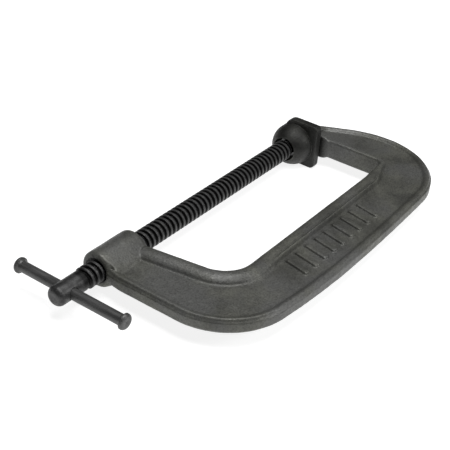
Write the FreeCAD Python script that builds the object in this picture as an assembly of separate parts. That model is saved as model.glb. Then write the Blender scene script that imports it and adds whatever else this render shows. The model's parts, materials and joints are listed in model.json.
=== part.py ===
import FreeCAD, Part
import math
import os

from FreeCAD import Placement, Rotation, Vector

# Cast C-clamp with an 8 in opening, in millimetres.
# Origin: centre of the anvil face, on the axis of the screw.
# +X runs along the screw from the handle to the anvil, +Z is square to the flat of the frame,
# and the spine of the frame lies on the -Y side.

# Screw thread, right hand, shared by the screw and the tapped boss.
SCREW_DIAMETER = 19.05
THREAD_LEAD = 5.6
THREAD_DEPTH = 2.2
FLANK_ANGLE = 14.5
CREST_SHARE = 0.36
THREAD_START = -311.0
THREAD_END = -26.5
THREAD_CLEARANCE = 0.35
RIDGE_SINK = 0.4
RIDGE_TURNS = 9
RIDGE_JOIN = 0.001

# Screw head, neck and ball nose.
HEAD_RADIUS = 8.6
HEAD_END = -342.0
HEAD_ROUNDING = 5.0
NECK_RADIUS = 5.5
BALL_RADIUS = 8.5
BALL_CENTRE = -15.0

# Sliding handle bar.
BAR_AXIS_X = -327.8
BAR_RADIUS = 4.75
BAR_HOLE_RADIUS = 5.15
BAR_ENDS_Y = (-60.4, 51.1)
KNOB_RADIUS = 6.75
KNOB_LENGTH = 6.0

# Swivel pad.
PAD_GAP = 2.5
PLATE_Y = (-24.6, 11.5)
PLATE_Z = (-20.3, 24.0)
PLATE_THICKNESS = 8.4
PLATE_CORNER = 5.0
PLATE_ROUNDING = 9.0
PLATE_EDGE = 1.2
DOME_RADIUS = 20.3
DOME_CENTRE = -12.2
DOME_FLAT_Z = -17.0
MOUTH_X = -28.9
MOUTH_RADIUS = 11.4
LIP_RADIUS = 1.6
SEAT_CLEARANCE = 0.35

# Split retaining ring behind the ball.
RING_X = -20.75
RING_THICKNESS = 1.6
RING_INNER = 7.2
RING_OUTER = 11.0
RING_SPLIT = 3.0
GROOVE_RADIUS = 12.0
GROOVE_WIDTH = 4.6

# Frame casting: outer outline, from the boss round the spine to the tip of the far arm.
OUTER_START = (-295.7, -11.0)
OUTER_LEAN = 13.0
OUTER_LEAN_LENGTH = 6.0
OUTER_LEAN_RADIUS = 50.0
NEAR_CORNER_Y = -81.0
NEAR_CORNER_RADIUS = 62.0
BOW_FALL = 6.5
BOW_FALL_RADIUS = 850.0
BOW_RISE = 3.0
BOW_RISE_RADIUS = 2480.0
FAR_CORNER_RADIUS = 74.0
FAR_TAPER_RADIUS = 88.0
FAR_TAPER_ANGLE = 28.0
FAR_TAPER_LENGTH = 38.2
NOSE_RADIUS = 16.0

# Frame casting: inner outline, round the throat.
INNER_START = (-249.2, -14.0)
INNER_LEAN = 9.0
INNER_LEAN_LENGTH = 54.8
THROAT_NEAR_RADIUS = 25.0
THROAT_FAR_RADIUS = 6.7
FAR_INNER_X = 1.0
FAR_INNER_TOP = 15.4
CHANGE_LENGTH = 26.0

# Frame casting: section.
WEB_HALF = 4.0
FLANGE_HALF = 9.6

# Inner flange of the near arm and the spine.
WIDE_EDGE = 0.8
WIDE_CROWN_RADIUS = 5.2
WIDE_FALL_INSET = 7.0
WIDE_FALL_RADIUS = 11.5
WIDE_FALL_ANGLE = 46.0
WIDE_FOOT_INSET = 18.2
WIDE_FOOT_RADIUS = 2.9
WIDE_FOOT_ANGLE = 200.0

# Groove and bead on the spine's flange, as (inset, depth below the crown).
SPINE_TOP = [(7.0, 0.0), (10.2, 0.15), (11.4, 1.4), (12.2, 1.4), (13.2, 0.45), (14.0, 0.7), (14.9, 2.4)]
SPINE_FOOT_ANGLE = 212.0
SETTLE_LENGTH = 30.0

# Inner flange of the far arm.
NARROW_EDGE = 0.2
NARROW_CROWN_RADIUS = 2.4
NARROW_FALL_INSET = 3.4
NARROW_FALL_RADIUS = 1.6
NARROW_FALL_ANGLE = 20.0
NARROW_FOOT_INSET = 9.0
NARROW_FOOT_RADIUS = 3.6
NARROW_FOOT_ANGLE = 190.0

# Outer rim: its drafted side as (inset, height), its bead and its foot.
RIM_HALF = 6.8
RIM_SIDE = [(0.3, 0.0), (0.5, 3.4), (1.0, 4.6), (1.7, 5.0)]
RIM_CROWN_INSET = 3.6
RIM_CROWN_RADIUS = 1.8
RIM_CROWN_ANGLE = 165.0
RIM_TOP_INSET = 5.0
RIM_TOP_DROP = 0.2
RIM_FOOT_INSET = 9.2
RIM_FOOT_RADIUS = 2.9
RIM_FOOT_ANGLE = 205.0
FOOT_END_ANGLE = 268.0

# Frame casting: tip of the far arm.
TIP_HALF = 6.4
TIP_EDGE = 3.0
TIP_Y = -24.0
POCKET_X = 21.0
POCKET_RADIUS = 12.0

# Threaded boss and anvil.
BOSS_START = -294.5
BOSS_END = -249.0
BOSS_RADIUS = 15.5
BOSS_ROUNDING = 3.0
SKIRT_START = -291.5
SKIRT_Y = -21.9
SKIRT_SLOPE = 33.0
SKIRT_FOOT = 2.9
ANVIL_LOW_Y = -35.5
ANVIL_HIGH_Y = 16.0
ANVIL_HALF = 11.5
ANVIL_DEPTH = 8.0
ANVIL_EDGE = 1.5

# Plain slanted ribs cast on both faces of the spine.
RIB_COUNT = 9
RIB_FIRST_X = -190.0
RIB_STEP = 14.1
RIB_LENGTH = 22.6
RIB_WIDTH = 5.0
RIB_HEIGHT = 1.9
RIB_Y = -119.6
RIB_LEAN = 12.0
RIB_ROUNDING = 0.9

SCREW_RADIUS = SCREW_DIAMETER / 2
ROOT_RADIUS = SCREW_RADIUS - THREAD_DEPTH
ALONG_X = Rotation(Vector(0, 1, 0), 90)


class Outline:
    """A chain of tangent lines and left-hand arcs in the plane of the frame."""

    def __init__(self, x, y, heading):
        self.point = Vector(x, y, 0)
        self.heading = heading
        self.edges = []

    def direction(self, turn=0.0):
        angle = math.radians(self.heading + turn)
        return Vector(math.cos(angle), math.sin(angle), 0)

    def line(self, length):
        end = self.point + self.direction() * length
        self.edges.append(Part.LineSegment(self.point, end).toShape())
        self.point = end
        return self

    def arc(self, radius, turn):
        centre = self.point + self.direction(90) * radius
        middle = centre + self.direction(turn / 2 - 90) * radius
        end = centre + self.direction(turn - 90) * radius
        self.edges.append(Part.Arc(self.point, middle, end).toShape())
        self.point = end
        self.heading += turn
        return self

    def section(self, points, side):
        """Close a symmetric section, given as (inset, height) moves, square to the heading."""
        inward = self.direction(90 * side)
        return closed_wire([self.point + inward * inset + Vector(0, 0, height)
                            for inset, height in points])


def closed_wire(points):
    return Part.makePolygon(points + [points[0]])


def mirrored(points):
    """Add the lower half of a section that is symmetric about the mid-plane."""
    return points + [(inset, -height) for inset, height in reversed(points)]


def arc_points(centre, radius, start, end, count):
    """Points along a round stretch of a section."""
    angles = [math.radians(start + (end - start) * i / (count - 1)) for i in range(count)]
    return [(centre[0] + radius * math.cos(a), centre[1] + radius * math.sin(a)) for a in angles]


def revolve(edges, axis=Vector(1, 0, 0)):
    """Turn a closed (along, radius) outline about the axis of the screw."""
    return Part.Face(Part.Wire(edges)).revolve(Vector(0, 0, 0), axis, 360)


def chain(steps):
    """Edges through (x, y) points; a step of four numbers is an arc via its first point."""
    edges = []
    here = Vector(steps[0][0], steps[0][1], 0)
    for step in steps[1:]:
        there = Vector(step[-2], step[-1], 0)
        if len(step) == 4:
            edges.append(Part.Arc(here, Vector(step[0], step[1], 0), there).toShape())
        else:
            edges.append(Part.LineSegment(here, there).toShape())
        here = there
    return edges


def cylinder_x(radius, start, end):
    return Part.makeCylinder(radius, end - start, Vector(start, 0, 0), Vector(1, 0, 0))


def thread_ridges(start, turns, clearance):
    """The trapezoidal ridge wound about the screw's axis, in short lengths that meet."""
    slope = math.tan(math.radians(FLANK_ANGLE))
    crest = THREAD_LEAD * CREST_SHARE / 2 + clearance
    top = SCREW_RADIUS + clearance
    foot = ROOT_RADIUS - RIDGE_SINK
    base = crest + (top - foot) * slope
    section = closed_wire([Vector(foot, 0, -base), Vector(top, 0, -crest),
                           Vector(top, 0, crest), Vector(foot, 0, base)])
    ridges = []
    for done in range(0, turns, RIDGE_TURNS):
        helix = Part.makeHelix(THREAD_LEAD, THREAD_LEAD * min(RIDGE_TURNS, turns - done), foot)
        ridge = Part.Wire(helix.Edges).makePipeShell([section], True, True)
        ridge.Placement = Placement(Vector(start + done * THREAD_LEAD, 0, 0), ALONG_X)
        ridges.append(ridge)
    return ridges


def threaded_rod():
    """The screw's threaded length, with both ends of the thread run out at a slope."""
    turns = math.ceil((THREAD_END - THREAD_START) / THREAD_LEAD) + 2
    ridges = thread_ridges(THREAD_START - THREAD_LEAD, turns, 0.0)
    rod = cylinder_x(ROOT_RADIUS, THREAD_START - 10, THREAD_END + 10).fuse(ridges, RIDGE_JOIN)
    top = SCREW_RADIUS + 0.1
    low = ROOT_RADIUS - 0.05
    rise = top - low
    envelope = revolve(chain([
        (THREAD_START - 1, 0), (THREAD_START - 1, low), (THREAD_START, low),
        (THREAD_START + 1.2 * rise, top), (THREAD_END - rise, top), (THREAD_END, low),
        (THREAD_END + 1, low), (THREAD_END + 1, 0), (THREAD_START - 1, 0)]))
    return rod.common(envelope)


def spindle():
    """Screw with its rounded, cross-drilled head, its neck and its ball nose."""
    shoulder = HEAD_RADIUS - ROOT_RADIUS
    corner = HEAD_ROUNDING * math.sqrt(0.5)
    head = revolve(chain([
        (HEAD_END, 0), (HEAD_END, HEAD_RADIUS - HEAD_ROUNDING),
        (HEAD_END + HEAD_ROUNDING - corner, HEAD_RADIUS - HEAD_ROUNDING + corner,
         HEAD_END + HEAD_ROUNDING, HEAD_RADIUS),
        (THREAD_START - shoulder, HEAD_RADIUS), (THREAD_START + shoulder, ROOT_RADIUS),
        (THREAD_START + shoulder, 0), (HEAD_END, 0)]))
    taper = ROOT_RADIUS - NECK_RADIUS
    neck = revolve(chain([
        (THREAD_END - 1, 0), (THREAD_END - 1, ROOT_RADIUS), (THREAD_END, ROOT_RADIUS),
        (THREAD_END + taper, NECK_RADIUS), (BALL_CENTRE, NECK_RADIUS), (BALL_CENTRE, 0),
        (THREAD_END - 1, 0)]))
    ball = Part.makeSphere(BALL_RADIUS, Vector(BALL_CENTRE, 0, 0))
    hole = Part.makeCylinder(BAR_HOLE_RADIUS, 4 * HEAD_RADIUS,
                             Vector(BAR_AXIS_X, -2 * HEAD_RADIUS, 0), Vector(0, 1, 0))
    return threaded_rod().fuse([head, neck, ball]).cut(hole)


def handle_bar():
    """Plain round bar with a mushroomed, dimpled end on each side of the screw's head."""
    low, high = BAR_ENDS_Y
    dimple = 0.8

    def end(tip, inward):
        steps = [(dimple, 0), (0, 2.4), (0, 4.0), (0.7, 6.0, 2.3, KNOB_RADIUS), (3.3, KNOB_RADIUS),
                 (4.0, 5.3, KNOB_LENGTH, BAR_RADIUS)]
        return [tuple(tip + inward * v if i % 2 == 0 else v for i, v in enumerate(step))
                for step in steps]

    left = end(low, 1)
    right = end(high, -1)
    edges = chain(left) + chain([left[-1][-2:], right[-1][-2:]])
    edges += chain(right)
    edges += chain([(high - dimple, 0), (low + dimple, 0)])
    bar = Part.Face(Part.Wire(Part.__sortEdges__(edges))).revolve(Vector(), Vector(1, 0, 0), 360)
    bar.Placement = Placement(Vector(BAR_AXIS_X, 0, 0), Rotation(Vector(0, 0, 1), 90))
    return bar


def pad_plate():
    """Jaw plate, set off from the hub towards the spine, with rounded corners."""
    front = -PAD_GAP
    back = front - PLATE_THICKNESS
    low_y, high_y = PLATE_Y
    low_z, high_z = PLATE_Z
    plate = Part.makeBox(PLATE_THICKNESS, high_y - low_y, high_z - low_z,
                         Vector(back, low_y, low_z))
    upright = [e for e in plate.Edges if e.BoundBox.XLength > 1]
    plate = plate.makeFillet(PLATE_CORNER, [e for e in upright if e.BoundBox.YMin < 0])
    upright = [e for e in plate.Edges if e.BoundBox.XLength > 1 and e.BoundBox.YMin > high_y - 0.1]
    plate = plate.makeFillet(PLATE_ROUNDING, upright)
    plate = plate.fuse(cylinder_x(DOME_RADIUS, back, front)).removeSplitter()
    rims = [e for e in plate.Edges if e.BoundBox.XLength < 0.01]
    return plate.makeFillet(PLATE_EDGE, rims)


def dome_radius(x):
    return math.sqrt(DOME_RADIUS ** 2 - (x - DOME_CENTRE) ** 2)


def swivel_pad():
    """Jaw plate and domed hub in one piece, bored for the ball and the ring."""
    middle = (DOME_CENTRE + MOUTH_X) / 2
    lip = MOUTH_X + LIP_RADIUS
    dome = revolve(chain([
        (-PAD_GAP - 1, 0), (-PAD_GAP - 1, dome_radius(DOME_CENTRE) - 1),
        (DOME_CENTRE, DOME_RADIUS), (middle, dome_radius(middle), lip, dome_radius(lip)),
        (MOUTH_X, MOUTH_RADIUS + 0.4), (MOUTH_X, 0), (-PAD_GAP - 1, 0)]))
    seat = BALL_RADIUS + SEAT_CLEARANCE
    corner = seat * math.sqrt(0.5)
    groove_back = RING_X - GROOVE_WIDTH / 2
    groove_front = RING_X + GROOVE_WIDTH / 2
    cavity = revolve(chain([
        (BALL_CENTRE + seat, 0), (BALL_CENTRE + corner, corner, BALL_CENTRE, seat),
        (groove_front, seat), (groove_front, GROOVE_RADIUS), (groove_back, GROOVE_RADIUS),
        (groove_back, seat + 0.5), (groove_back - 1, seat + 0.5), (MOUTH_X + 1.5, MOUTH_RADIUS),
        (MOUTH_X - 1, MOUTH_RADIUS), (MOUTH_X - 1, 0), (BALL_CENTRE + seat, 0)]))
    underside = Part.makeBox(40, 60, 20, Vector(-40, -30, DOME_FLAT_Z - 20))
    return pad_plate().fuse(dome.cut(underside)).cut(cavity)


def retaining_ring():
    """Split flat ring that keeps the ball in the pad."""
    start = RING_X - RING_THICKNESS / 2
    end = RING_X + RING_THICKNESS / 2
    ring = cylinder_x(RING_OUTER, start, end).cut(cylinder_x(RING_INNER, start - 1, end + 1))
    split = Part.makeBox(2 * RING_THICKNESS, 2 * RING_OUTER, RING_SPLIT,
                         Vector(start - 0.5, 0, -RING_SPLIT / 2))
    return ring.cut(split)


def outer_outline():
    """Outside of the frame, from the boss round the spine to the tip of the far arm."""
    path = Outline(*OUTER_START, 270 - OUTER_LEAN)
    path.line(OUTER_LEAN_LENGTH)
    path.arc(OUTER_LEAN_RADIUS, OUTER_LEAN)
    path.line(path.point.y - NEAR_CORNER_Y)
    path.arc(NEAR_CORNER_RADIUS, 90 - BOW_FALL)
    path.arc(BOW_FALL_RADIUS, BOW_FALL)
    path.arc(BOW_RISE_RADIUS, BOW_RISE)
    path.arc(FAR_CORNER_RADIUS, 90 - BOW_RISE)
    path.arc(FAR_TAPER_RADIUS, FAR_TAPER_ANGLE)
    path.line(FAR_TAPER_LENGTH)
    path.arc(NOSE_RADIUS, 90 - FAR_TAPER_ANGLE)
    return path


def foot(inset, radius, start):
    """Fillet from a bead's falling side down to the flat of the web."""
    return arc_points((inset, WEB_HALF + radius), radius, start, FOOT_END_ANGLE, 6)


def wide_crown():
    """Rounded throat edge of the flange, on the near arm and the spine alike."""
    return arc_points((WIDE_EDGE + WIDE_CROWN_RADIUS, FLANGE_HALF - WIDE_CROWN_RADIUS),
                      WIDE_CROWN_RADIUS, 180, 90, 6)


def wide_section():
    """Inner flange of the near arm: a broad crown, then a steep fall to the web."""
    fall = arc_points((WIDE_FALL_INSET, FLANGE_HALF - WIDE_FALL_RADIUS),
                      WIDE_FALL_RADIUS, 90, WIDE_FALL_ANGLE, len(SPINE_TOP))
    return mirrored([(WIDE_EDGE, 0)] + wide_crown() + fall
                    + foot(WIDE_FOOT_INSET, WIDE_FOOT_RADIUS, WIDE_FOOT_ANGLE))


def spine_section():
    """Inner flange of the spine: a broad crown, a shallow groove and a bead beside it."""
    top = [(inset, FLANGE_HALF - depth) for inset, depth in SPINE_TOP]
    return mirrored([(WIDE_EDGE, 0)] + wide_crown() + top
                    + foot(WIDE_FOOT_INSET, WIDE_FOOT_RADIUS, SPINE_FOOT_ANGLE))


def narrow_section():
    """Inner flange of the far arm: a narrow ridge that drops quickly to the web."""
    crown = arc_points((NARROW_EDGE + NARROW_CROWN_RADIUS, FLANGE_HALF - NARROW_CROWN_RADIUS),
                       NARROW_CROWN_RADIUS, 180, 90, 6)
    fall = arc_points((NARROW_FALL_INSET, FLANGE_HALF - NARROW_FALL_RADIUS),
                      NARROW_FALL_RADIUS, 90, NARROW_FALL_ANGLE, len(SPINE_TOP))
    return mirrored([(NARROW_EDGE, 0)] + crown + fall
                    + foot(NARROW_FOOT_INSET, NARROW_FOOT_RADIUS, NARROW_FOOT_ANGLE))


def rim_section():
    """Outer rim: a drafted side, a shallow notch above it, and a bead higher than the web."""
    crown = arc_points((RIM_CROWN_INSET, RIM_HALF - RIM_CROWN_RADIUS),
                       RIM_CROWN_RADIUS, RIM_CROWN_ANGLE, 90, 5)
    return mirrored(RIM_SIDE + crown + [(RIM_TOP_INSET, RIM_HALF - RIM_TOP_DROP)]
                    + foot(RIM_FOOT_INSET, RIM_FOOT_RADIUS, RIM_FOOT_ANGLE))


def sweep(section, edges):
    return Part.Wire(edges).makePipeShell([section], True, False)


def inner_flange():
    """Flange round the throat, in lengths whose sections meet: arm, spine and far arm."""
    path = Outline(*INNER_START, 270 + INNER_LEAN)
    arm_start = path.section(wide_section(), -1)
    path.line(INNER_LEAN_LENGTH)
    path.arc(THROAT_NEAR_RADIUS, 90 - INNER_LEAN)
    arm = sweep(arm_start, path.edges)
    arm_end = path.section(wide_section(), -1)
    path.line(SETTLE_LENGTH)
    spine_start = path.section(spine_section(), -1)
    settle = Part.makeLoft([arm_end, spine_start], True, True)
    settled = len(path.edges)
    path.line(FAR_INNER_X - THROAT_FAR_RADIUS - CHANGE_LENGTH - path.point.x)
    spine = sweep(spine_start, path.edges[settled:])
    spine_end = path.section(spine_section(), -1)
    path.line(CHANGE_LENGTH)
    far_start = path.section(narrow_section(), -1)
    change = Part.makeLoft([spine_end, far_start], True, True)
    changed = len(path.edges)
    path.arc(THROAT_FAR_RADIUS, 90)
    path.line(FAR_INNER_TOP - path.point.y)
    far = sweep(far_start, path.edges[changed:])
    return path, [arm, settle, spine, change, far]


def web_face(inner, outer):
    """Plan face of the whole casting between its two outlines."""
    start_inner = inner.edges[0].Vertexes[0].Point
    start_outer = outer.edges[0].Vertexes[0].Point
    near_end = Part.LineSegment(start_inner, start_outer).toShape()
    far_end = Part.LineSegment(outer.point, inner.point).toShape()
    edges = Part.__sortEdges__(inner.edges + outer.edges + [near_end, far_end])
    return Part.Face(Part.Wire(edges))


def slab(face, half):
    """A plan face thickened equally above and below the mid-plane."""
    solid = face.extrude(Vector(0, 0, 2 * half))
    solid.translate(Vector(0, 0, -half))
    return solid


def boss():
    """Barrel for the screw with a concave skirt that runs down to the web."""
    corner = BOSS_ROUNDING * math.sqrt(0.5)
    barrel = revolve(chain([
        (BOSS_START, 0), (BOSS_START, BOSS_RADIUS - BOSS_ROUNDING),
        (BOSS_START + BOSS_ROUNDING - corner, BOSS_RADIUS - BOSS_ROUNDING + corner,
         BOSS_START + BOSS_ROUNDING, BOSS_RADIUS),
        (BOSS_END - BOSS_ROUNDING, BOSS_RADIUS),
        (BOSS_END - BOSS_ROUNDING + corner, BOSS_RADIUS - BOSS_ROUNDING + corner,
         BOSS_END, BOSS_RADIUS - BOSS_ROUNDING), (BOSS_END, 0), (BOSS_START, 0)]))
    lean = math.radians(SKIRT_SLOPE)
    high_y, high_z = -BOSS_RADIUS * math.sin(lean), BOSS_RADIUS * math.cos(lean)
    low_y = SKIRT_Y + SKIRT_FOOT + 0.4
    low_z = high_z + (low_y - high_y) * math.tan(lean)
    toe = arc_points((SKIRT_Y, WEB_HALF + SKIRT_FOOT), SKIRT_FOOT, -15, -92, 7)
    side = [(high_y, high_z), (low_y, low_z)] + toe
    section = [(0, 0)] + side + [(SKIRT_Y, 0)] + [(y, -z) for y, z in reversed(side)]
    face = Part.Face(closed_wire([Vector(SKIRT_START, y, z) for y, z in section]))
    return [barrel, face.extrude(Vector(INNER_START[0] - SKIRT_START - 3, 0, 0))]


def is_outer_top(edge):
    """Whether an edge of the tip lies flat along the outside of the arm."""
    box = edge.BoundBox
    return box.ZLength < 0.01 and box.XMax > FAR_INNER_X + 1 and box.YMax > TIP_Y + 1


def anvil(face):
    """Thick tip of the far arm with its raised, round-ended pad."""
    low = ANVIL_LOW_Y + ANVIL_HALF
    high = ANVIL_HIGH_Y - ANVIL_HALF
    rounds = [Part.makeCylinder(ANVIL_HALF, ANVIL_DEPTH, Vector(0, y, 0), Vector(1, 0, 0))
              for y in (low, high)]
    middle = Part.makeBox(ANVIL_DEPTH, high - low, 2 * ANVIL_HALF, Vector(0, low, -ANVIL_HALF))
    pad = rounds[0].fuse([rounds[1], middle]).removeSplitter()
    rim = [e for e in pad.Edges if e.BoundBox.XLength < 0.01]
    pad = pad.makeFillet(ANVIL_EDGE, rim)
    tip = slab(face, TIP_HALF).common(Part.makeBox(60, 60, 40, Vector(0, TIP_Y, -20)))
    tip = tip.makeFillet(TIP_EDGE, [e for e in tip.Edges if is_outer_top(e)])
    pocket = Part.makeCylinder(POCKET_RADIUS, 60, Vector(POCKET_X, TIP_Y, -30))
    return [pad, tip.cut(pocket)]


def ribs():
    """Plain leaning ribs, alike on both faces of the spine."""
    half = WEB_HALF + RIB_HEIGHT
    bars = []
    for i in range(RIB_COUNT):
        bar = Part.makeBox(RIB_WIDTH, RIB_LENGTH, 2 * half,
                           Vector(-RIB_WIDTH / 2, -RIB_LENGTH / 2, -half))
        bar = bar.makeFillet(RIB_ROUNDING, bar.Edges)
        bar.Placement = Placement(Vector(RIB_FIRST_X + i * RIB_STEP, RIB_Y, 0),
                                  Rotation(Vector(0, 0, 1), -RIB_LEAN))
        bars.append(bar)
    return bars


def tapped_bore():
    """What the drill, the tap and the two countersinks take out of the boss."""
    ahead = math.floor((BOSS_START - THREAD_START) / THREAD_LEAD) - 1
    start = THREAD_START + ahead * THREAD_LEAD
    turns = math.ceil((BOSS_END - start) / THREAD_LEAD) + 1
    ridges = thread_ridges(start, turns, THREAD_CLEARANCE)
    core = cylinder_x(ROOT_RADIUS + THREAD_CLEARANCE, start, start + turns * THREAD_LEAD)
    mouth = SCREW_RADIUS + 1.2
    near = Part.makeCone(mouth + 1, ROOT_RADIUS, mouth + 1 - ROOT_RADIUS,
                         Vector(BOSS_START - 1, 0, 0), Vector(1, 0, 0))
    far = Part.makeCone(mouth + 1, ROOT_RADIUS, mouth + 1 - ROOT_RADIUS,
                        Vector(BOSS_END + 1, 0, 0), Vector(-1, 0, 0))
    return [core, near, far] + ridges


def frame():
    """The whole casting: web, flanges, rim, boss, anvil and ribs, bored and tapped."""
    inner, beads = inner_flange()
    outer = outer_outline()
    face = web_face(inner, outer)
    rim_start = Outline(*OUTER_START, 270 - OUTER_LEAN).section(rim_section(), 1)
    rim = sweep(rim_start, outer.edges)
    body = slab(face, WEB_HALF).fuse(beads + [rim] + boss() + anvil(face) + ribs())
    for cutter in tapped_bore():
        body = body.cut(cutter)
    return body


def main():
    os.makedirs("parts", exist_ok=True)
    nodes = {
        "frame": frame,
        "spindle": spindle,
        "handle_bar": handle_bar,
        "swivel_pad": swivel_pad,
        "retaining_ring": retaining_ring,
    }
    for name, build in nodes.items():
        shape = build()
        if len(shape.Solids) != 1 or not shape.isValid():
            raise ValueError(name + " is not one sound solid")
        shape.Solids[0].exportStep("parts/" + name + ".step")
        box = shape.BoundBox
        print(name, round(shape.Volume), len(shape.Faces), "faces",
              [round(v, 2) for v in (box.XMin, box.XMax, box.YMin, box.YMax, box.ZMin, box.ZMax)])


if __name__ == "__main__":
    main()
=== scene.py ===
"""Looks of the C clamp: cast frame and pad with a sand-cast skin, black screw, satin bar, plain studio."""
import json

import bpy
from mathutils import Matrix, Vector

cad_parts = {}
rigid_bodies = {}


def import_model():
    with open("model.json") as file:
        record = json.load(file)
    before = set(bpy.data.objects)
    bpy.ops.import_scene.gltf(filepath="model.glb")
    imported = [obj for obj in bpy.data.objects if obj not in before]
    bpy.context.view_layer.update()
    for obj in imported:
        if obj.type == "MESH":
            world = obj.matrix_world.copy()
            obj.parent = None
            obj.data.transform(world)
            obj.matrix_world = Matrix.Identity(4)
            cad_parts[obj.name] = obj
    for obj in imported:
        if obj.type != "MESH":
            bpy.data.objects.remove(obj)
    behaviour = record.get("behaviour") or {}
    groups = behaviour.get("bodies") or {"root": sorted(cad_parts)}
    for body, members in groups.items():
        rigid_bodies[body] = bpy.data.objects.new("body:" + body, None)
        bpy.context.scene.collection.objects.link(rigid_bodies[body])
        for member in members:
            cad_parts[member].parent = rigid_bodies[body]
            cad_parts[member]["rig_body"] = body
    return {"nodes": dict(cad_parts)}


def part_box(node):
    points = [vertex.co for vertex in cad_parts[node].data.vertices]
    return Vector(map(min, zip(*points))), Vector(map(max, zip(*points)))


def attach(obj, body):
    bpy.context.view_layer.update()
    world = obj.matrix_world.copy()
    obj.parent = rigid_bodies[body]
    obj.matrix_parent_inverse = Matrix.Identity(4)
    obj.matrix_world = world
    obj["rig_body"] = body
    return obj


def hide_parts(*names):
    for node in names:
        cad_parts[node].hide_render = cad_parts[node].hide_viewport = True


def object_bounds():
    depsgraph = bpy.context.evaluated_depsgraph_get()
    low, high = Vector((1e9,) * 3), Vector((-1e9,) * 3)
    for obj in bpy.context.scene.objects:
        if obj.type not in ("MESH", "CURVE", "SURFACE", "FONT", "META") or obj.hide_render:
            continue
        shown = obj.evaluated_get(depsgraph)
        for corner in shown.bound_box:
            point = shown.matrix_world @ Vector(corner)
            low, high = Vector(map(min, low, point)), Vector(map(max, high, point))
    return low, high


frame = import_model()
CAD_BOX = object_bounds()

MM = 0.001
WELD_DISTANCE = 0.002 * MM
SHARP_ANGLE = 0.6

# Camera: where it stands, and the directions of the picture's right and of the view.
CAMERA_PLACE = Vector((-0.77403, -0.43665, 0.46904))
CAMERA_RIGHT = Vector((0.58928, -0.80509, 0.06772))
CAMERA_VIEW = Vector((0.69746, 0.46460, -0.54561))
LENS_MM = 81.43
HALF_PIXEL = 0.5 / 450

# Studio: a pale floor that glows a little, faint surroundings, and softboxes given by name, place
# from the middle of the clamp, size and power.
FLOOR_GAP = 0.4 * MM
FLOOR_SIZE = 60.0
FLOOR_COLOUR = (0.42, 0.42, 0.42, 1.0)
FLOOR_ROUGHNESS = 0.9
FLOOR_GLOW = 0.84
WHITE = (1.0, 1.0, 1.0, 1.0)
SURROUNDINGS = 0.05
SOFTBOXES = (("overhead", (0.0, -0.1, 1.25), 0.9, 17.0),
             ("spine_side", (0.5, -1.3, 0.9), 0.6, 9.0))

# Screw, for its material: radius at the crest and at the root, and where its head begins.
SCREW_CREST = 9.525 * MM
SCREW_ROOT = 7.325 * MM
HEAD_BEGINS = -315 * MM

# Cast skins: fineness, rounds of smoothing, faces kept, and the radius of the bore that stays true.
FRAME_VOXEL = 0.6 * MM
FRAME_PASSES = 4
FRAME_FACES = 190000
FRAME_BORE = 12 * MM
BORE_ENDS = 1 * MM
PAD_VOXEL = 0.35 * MM
PAD_PASSES = 5
PAD_FACES = 60000
PAD_BORE = 12.6 * MM
PAD_FACE_DEPTH = 0.2 * MM

# Relief on the castings: name, size of its clouds, and height.
RELIEF = (("swells", 14 * MM, 0.35 * MM), ("sand", 1.6 * MM, 0.10 * MM))
RELIEF_DEPTH = 2


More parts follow.
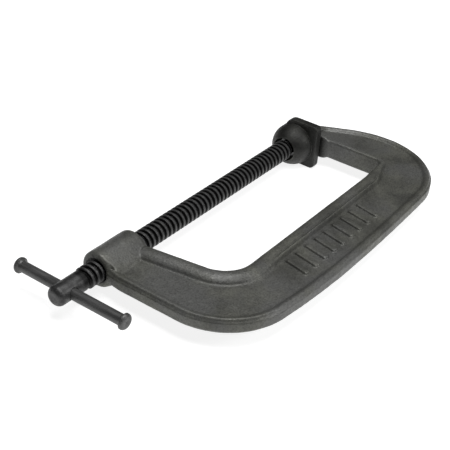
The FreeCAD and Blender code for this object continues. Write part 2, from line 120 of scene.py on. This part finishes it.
class Graph:
    """A material's node tree, with one short call for each kind of node that it needs."""

    def __init__(self, name, metallic, specular):
        self.material = bpy.data.materials.new(name)
        self.material.use_nodes = True
        self.tree = self.material.node_tree
        self.shader = self.tree.nodes["Principled BSDF"]
        self.shader.inputs["Metallic"].default_value = metallic
        self.shader.inputs["Specular IOR Level"].default_value = specular
        self.place = self.node("ShaderNodeTexCoord").outputs["Object"]

    def node(self, kind, **values):
        made = self.tree.nodes.new(kind)
        for name, value in values.items():
            setattr(made, name, value)
        return made

    def link(self, source, target):
        self.tree.links.new(source, target)

    def fill(self, socket, value):
        """Give a socket a number, a colour or another node's output."""
        if isinstance(value, bpy.types.NodeSocket):
            self.link(value, socket)
        else:
            socket.default_value = value

    def scaled(self, x, y, z):
        """Object coordinates stretched by a factor along each axis."""
        mapping = self.node("ShaderNodeMapping")
        self.link(self.place, mapping.inputs["Vector"])
        mapping.inputs["Scale"].default_value = (x, y, z)
        return mapping.outputs["Vector"]

    def noise(self, scale, detail=3.0, roughness=0.55, place=None):
        texture = self.node("ShaderNodeTexNoise")
        self.link(place or self.place, texture.inputs["Vector"])
        texture.inputs["Scale"].default_value = scale
        texture.inputs["Detail"].default_value = detail
        texture.inputs["Roughness"].default_value = roughness
        return texture.outputs["Fac"]

    def pits(self, scale):
        """Distance to the nearest of many scattered points."""
        texture = self.node("ShaderNodeTexVoronoi")
        self.link(self.place, texture.inputs["Vector"])
        texture.inputs["Scale"].default_value = scale
        return texture.outputs["Distance"]

    def ranged(self, value, low, high, out_low=0.0, out_high=1.0):
        """A value moved from one range to another, and kept inside it."""
        mapped = self.node("ShaderNodeMapRange", interpolation_type="SMOOTHSTEP")
        self.link(value, mapped.inputs["Value"])
        for name, number in (("From Min", low), ("From Max", high),
                             ("To Min", out_low), ("To Max", out_high)):
            mapped.inputs[name].default_value = number
        return mapped.outputs["Result"]

    def mixed(self, factor, first, second, blend="MIX"):
        mix = self.node("ShaderNodeMix", data_type="RGBA", blend_type=blend)
        self.fill(mix.inputs[0], factor)
        self.fill(mix.inputs[6], first)
        self.fill(mix.inputs[7], second)
        return mix.outputs[2]

    def math(self, operation, first, second=0.0):
        made = self.node("ShaderNodeMath", operation=operation)
        self.fill(made.inputs[0], first)
        self.fill(made.inputs[1], second)
        return made.outputs["Value"]

    def edges(self, radius, low, high):
        """How near a sharp edge is, from a rounded normal compared with the true one."""
        rounded = self.node("ShaderNodeBevel", samples=6)
        rounded.inputs["Radius"].default_value = radius
        true = self.node("ShaderNodeNewGeometry").outputs["Normal"]
        turned = self.node("ShaderNodeVectorMath", operation="DOT_PRODUCT")
        self.link(rounded.outputs["Normal"], turned.inputs[0])
        self.link(true, turned.inputs[1])
        return self.ranged(turned.outputs["Value"], low, high, 1.0, 0.0)

    def hollows(self, distance, low, high):
        """Where neighbouring surfaces crowd in: 1 in a crevice, 0 in the open."""
        near = self.node("ShaderNodeAmbientOcclusion", samples=8)
        near.inputs["Distance"].default_value = distance
        return self.ranged(near.outputs["AO"], low, high, 1.0, 0.0)

    def bump(self, heights, distance, strength, rounding=0.0):
        """Surface relief in metres, laid over an edge rounding if one is asked for."""
        relief = self.node("ShaderNodeBump")
        relief.inputs["Distance"].default_value = distance
        relief.inputs["Strength"].default_value = strength
        self.link(heights, relief.inputs["Height"])
        if rounding:
            rounded = self.node("ShaderNodeBevel", samples=6)
            rounded.inputs["Radius"].default_value = rounding
            self.link(rounded.outputs["Normal"], relief.inputs["Normal"])
        self.link(relief.outputs["Normal"], self.shader.inputs["Normal"])

    def finish(self, colour, roughness):
        self.link(colour, self.shader.inputs["Base Color"])
        self.link(roughness, self.shader.inputs["Roughness"])
        return self.material


def grey(value, warmth=0.0):
    """A dark neutral, drawn towards olive by warmth."""
    return (value * (1 - 0.005 * warmth), value, value * (1 - 0.11 * warmth), 1.0)


def casting(name, dark, light, edge_wear_and_highlight, roughness):
    """Coated cast iron: cloudy gunmetal, sand-cast grain, lighter edges (rubbed paint and painted
    highlight), and painted shade in the corners and creases.
    """
    g = Graph(name, 0.38, 0.40)
    clouds = g.ranged(g.noise(32, 5.0, 0.6), 0.32, 0.68)
    tone = g.mixed(clouds, dark, light)
    cool = g.ranged(g.noise(17, 3.0), 0.42, 0.62, 0.0, 0.8)
    tone = g.mixed(cool, tone, (light[0] * 0.86, light[1] * 0.86, light[2] * 0.98, 1.0))
    grain = g.ranged(g.noise(700, 3.0, 0.65), 0.3, 0.7, 0.64, 1.24)
    tone = g.mixed(1.0, tone, g.mixed(grain, (0, 0, 0, 1), (1, 1, 1, 1)), "MULTIPLY")
    # Painted shade: ambient occlusion darkens creases, corners and grooves towards near-black.
    painted_crease_shade = g.math("MAXIMUM", g.hollows(8 * MM, 0.35, 0.97), g.hollows(2.5 * MM, 0.6, 1.0))
    tone = g.mixed(g.math("MULTIPLY", painted_crease_shade, 0.95), tone, grey(0.010, 1.0))
    # Sharp edges lightened: partly paint rubbed through, partly a painted highlight along the crowns.
    lighter_edges = g.math("MULTIPLY", g.edges(1.6 * MM, 0.86, 0.995), g.ranged(g.noise(120), 0.35, 0.6))
    tone = g.mixed(g.math("MULTIPLY", lighter_edges, 0.8), tone, edge_wear_and_highlight)
    sand = g.math("ADD", g.noise(520, 4.0, 0.6), g.math("MULTIPLY", g.pits(330), 0.35))
    g.bump(sand, 0.34 * MM, 0.7)
    return g.finish(tone, g.ranged(g.noise(300), 0.25, 0.75, roughness - 0.07, roughness + 0.09))


def screw_steel(name):
    """Black-oxide thread: painted shade in the grooves, a painted highlight on the crests, and sharp edges
    lightened as rubbed steel and painted highlight; the head is greyer.
    """
    g = Graph(name, 0.6, 0.4)
    parts = g.node("ShaderNodeSeparateXYZ")
    g.link(g.place, parts.inputs[0])
    radius = g.math("POWER", g.math("ADD", g.math("POWER", parts.outputs["Y"], 2.0),
                                    g.math("POWER", parts.outputs["Z"], 2.0)), 0.5)
    # Painted shade and highlight on the thread: near-black at the root, lighter towards the crest.
    height = g.ranged(radius, SCREW_ROOT, SCREW_CREST)
    scratched = g.noise(60, 5.0, 0.7, g.scaled(90.0, 6.0, 6.0))
    crest = g.mixed(g.ranged(scratched, 0.35, 0.65), grey(0.040), grey(0.085))
    tone = g.mixed(g.math("POWER", height, 5.0), grey(0.006), crest)
    forged = g.mixed(g.ranged(g.noise(170, 5.0, 0.7), 0.35, 0.68), grey(0.035), grey(0.080))
    on_head = g.ranged(parts.outputs["X"], HEAD_BEGINS - 4 * MM, HEAD_BEGINS, 1.0, 0.0)
    tone = g.mixed(on_head, tone, forged)
    # Sharp edges lightened: partly rubbed steel, partly a painted highlight on the crests.
    lighter_edges = g.math("MULTIPLY", g.edges(0.35 * MM, 0.75, 0.98), g.ranged(g.noise(210), 0.4, 0.6))
    tone = g.mixed(g.math("MULTIPLY", lighter_edges, 0.5), tone, grey(0.17))
    g.bump(g.noise(420, 4.0, 0.6), 0.14 * MM, 0.5, 0.3 * MM)
    return g.finish(tone, g.ranged(scratched, 0.3, 0.7, 0.36, 0.52))


def bar_steel(name):
    """Satin dark bar: faint marks across it from the hole it slides in."""
    g = Graph(name, 0.55, 0.5)
    drawn = g.noise(70, 5.0, 0.7, g.scaled(9.0, 0.9, 9.0))
    tone = g.mixed(g.ranged(drawn, 0.32, 0.68), grey(0.072), grey(0.105))
    blotch = g.ranged(g.noise(55, 3.0), 0.35, 0.7, 0.0, 0.35)
    tone = g.mixed(blotch, tone, grey(0.050, 0.4))
    lighter_edges = g.math("MULTIPLY", g.edges(0.7 * MM, 0.80, 0.98), g.ranged(g.noise(230), 0.38, 0.6))
    tone = g.mixed(g.math("MULTIPLY", lighter_edges, 0.6), tone, grey(0.20))
    g.bump(g.noise(480, 4.0, 0.6), 0.16 * MM, 0.4, 0.5 * MM)
    return g.finish(tone, g.ranged(drawn, 0.3, 0.7, 0.38, 0.52))


def spring_steel(name):
    """Bright blued strip with fine lines round it."""
    g = Graph(name, 0.9, 0.5)
    lines = g.noise(900, 4.0, 0.6)
    tone = g.mixed(g.ranged(lines, 0.35, 0.65), grey(0.10), grey(0.19))
    g.bump(lines, 0.05 * MM, 0.4)
    return g.finish(tone, g.ranged(lines, 0.3, 0.7, 0.25, 0.38))


def dress(node, material):
    """Give a CAD node its material, smooth over its round faces and sharp at its edges."""
    body = frame["nodes"][node]
    body.data.materials.clear()
    body.data.materials.append(material)
    for face in body.data.polygons:
        face.use_smooth = True
    body.modifiers.new("weld", "WELD").merge_threshold = WELD_DISTANCE
    body.modifiers.new("edges", "EDGE_SPLIT").split_angle = SHARP_ANGLE
    body.modifiers.new("normals", "WEIGHTED_NORMAL").weight = 80


def wave(name, size):
    """Cloud texture that a Displace modifier lays over a casting as real relief."""
    texture = bpy.data.textures.new(name, "CLOUDS")
    texture.noise_scale = size
    texture.noise_depth = RELIEF_DEPTH
    return texture


def cast_skin(node, material, voxel, passes, faces, is_outside):
    """A casting as it leaves the sand: edges rounded off, faces faintly uneven, bores kept true."""
    plain = frame["nodes"][node]
    plain.modifiers.new("weld", "WELD").merge_threshold = WELD_DISTANCE
    remesh = plain.modifiers.new("remesh", "REMESH")
    remesh.mode = "VOXEL"
    remesh.voxel_size = voxel
    shapes = bpy.context.evaluated_depsgraph_get()
    mesh = bpy.data.meshes.new_from_object(plain.evaluated_get(shapes))
    plain.modifiers.clear()
    skin = bpy.data.objects.new(node + "_casting", mesh)
    bpy.context.scene.collection.objects.link(skin)
    outside = [v.index for v in mesh.vertices if is_outside(v.co)]
    skin.vertex_groups.new(name="outside").add(outside, 1.0, "REPLACE")
    fillets = skin.modifiers.new("fillets", "SMOOTH")
    fillets.factor = 0.5
    fillets.iterations = passes
    fillets.vertex_group = "outside"
    for name, size, strength in RELIEF:
        relief = skin.modifiers.new(name, "DISPLACE")
        relief.texture = wave(node + "_" + name, size)
        relief.texture_coords = "LOCAL"
        relief.strength = strength
        relief.vertex_group = "outside"
    thin = skin.modifiers.new("thin", "DECIMATE")
    thin.ratio = min(1.0, faces / (2 * len(mesh.polygons)))
    shapes = bpy.context.evaluated_depsgraph_get()
    skin.data = bpy.data.meshes.new_from_object(skin.evaluated_get(shapes))
    skin.modifiers.clear()
    skin.data.materials.clear()
    skin.data.materials.append(material)
    for face in skin.data.polygons:
        face.use_smooth = True
    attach(skin, plain["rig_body"])
    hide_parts(node)


def off_axis(place):
    """Distance from the axis of the screw."""
    return (place.y ** 2 + place.z ** 2) ** 0.5


def build_castings():
    """The frame and the pad; the tapped bore, the socket and the pad's working face stay as machined."""
    iron = casting("cast_iron_frame", dark=grey(0.066, 0.9), light=grey(0.122, 1.3),
                   edge_wear_and_highlight=grey(0.30, 0.9), roughness=0.46)
    forged = casting("cast_iron_pad", dark=grey(0.012, 0.8), light=grey(0.036, 1.4),
                     edge_wear_and_highlight=grey(0.12, 1.0), roughness=0.52)
    pad_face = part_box("swivel_pad")[1].x - PAD_FACE_DEPTH
    cast_skin("frame", iron, FRAME_VOXEL, FRAME_PASSES, FRAME_FACES,
              lambda place: off_axis(place) > FRAME_BORE or place.x > BORE_ENDS)
    cast_skin("swivel_pad", forged, PAD_VOXEL, PAD_PASSES, PAD_FACES,
              lambda place: off_axis(place) > PAD_BORE and place.x < pad_face)


def build_machined():
    dress("spindle", screw_steel("black_oxide_screw"))
    dress("handle_bar", bar_steel("satin_bar"))
    dress("retaining_ring", spring_steel("spring_ring"))


def studio_floor():
    """Plain pale floor just under the lowest point of the clamp."""
    lowest = CAD_BOX[0][2] - FLOOR_GAP
    half = FLOOR_SIZE / 2
    mesh = bpy.data.meshes.new("studio_floor")
    corners = [(-half, -half, lowest), (half, -half, lowest), (half, half, lowest), (-half, half, lowest)]
    mesh.from_pydata(corners, [], [(0, 1, 2, 3)])
    floor = bpy.data.objects.new("studio_floor", mesh)
    bpy.context.scene.collection.objects.link(floor)
    material = bpy.data.materials.new("studio_floor")
    material.use_nodes = True
    shader = material.node_tree.nodes["Principled BSDF"]
    shader.inputs["Base Color"].default_value = FLOOR_COLOUR
    shader.inputs["Roughness"].default_value = FLOOR_ROUGHNESS
    shader.inputs["Emission Color"].default_value = WHITE
    shader.inputs["Emission Strength"].default_value = FLOOR_GLOW
    mesh.materials.append(material)


def soft_light(name, place, aim, size, power):
    """Square softbox that looks at a point of the clamp."""
    data = bpy.data.lights.new(name, "AREA")
    data.shape = "SQUARE"
    data.size = size
    data.energy = power
    lamp = bpy.data.objects.new(name, data)
    lamp.location = place
    lamp.rotation_euler = (aim - place).to_track_quat("-Z", "Y").to_euler()
    bpy.context.scene.collection.objects.link(lamp)


def studio_light():
    """Faint even surroundings, a wide light overhead and one from the spine's side."""
    world = bpy.data.worlds.new("studio")
    world.use_nodes = True
    background = world.node_tree.nodes["Background"]
    background.inputs["Color"].default_value = WHITE
    background.inputs["Strength"].default_value = SURROUNDINGS
    bpy.context.scene.world = world
    middle = Vector([(a + b) / 2 for a, b in zip(CAD_BOX[0], CAD_BOX[1])])
    for name, offset, size, power in SOFTBOXES:
        soft_light(name, middle + Vector(offset), middle, size, power)


def camera():
    """A long lens, above and behind the handle, that looks along the spine."""
    right = CAMERA_RIGHT.normalized()
    back = -CAMERA_VIEW.normalized()
    up = back.cross(right).normalized()
    data = bpy.data.cameras.new("camera")
    data.lens = LENS_MM
    data.sensor_width = 36.0
    data.shift_x = -HALF_PIXEL
    data.shift_y = HALF_PIXEL
    data.clip_start = 0.01
    made = bpy.data.objects.new("camera", data)
    made.matrix_world = Matrix.Translation(CAMERA_PLACE) @ Matrix((right, up, back)).transposed().to_4x4()
    bpy.context.scene.collection.objects.link(made)
    bpy.context.scene.camera = made


bpy.context.scene.view_settings.view_transform = "Standard"
build_castings()
build_machined()
studio_floor()
studio_light()
camera()
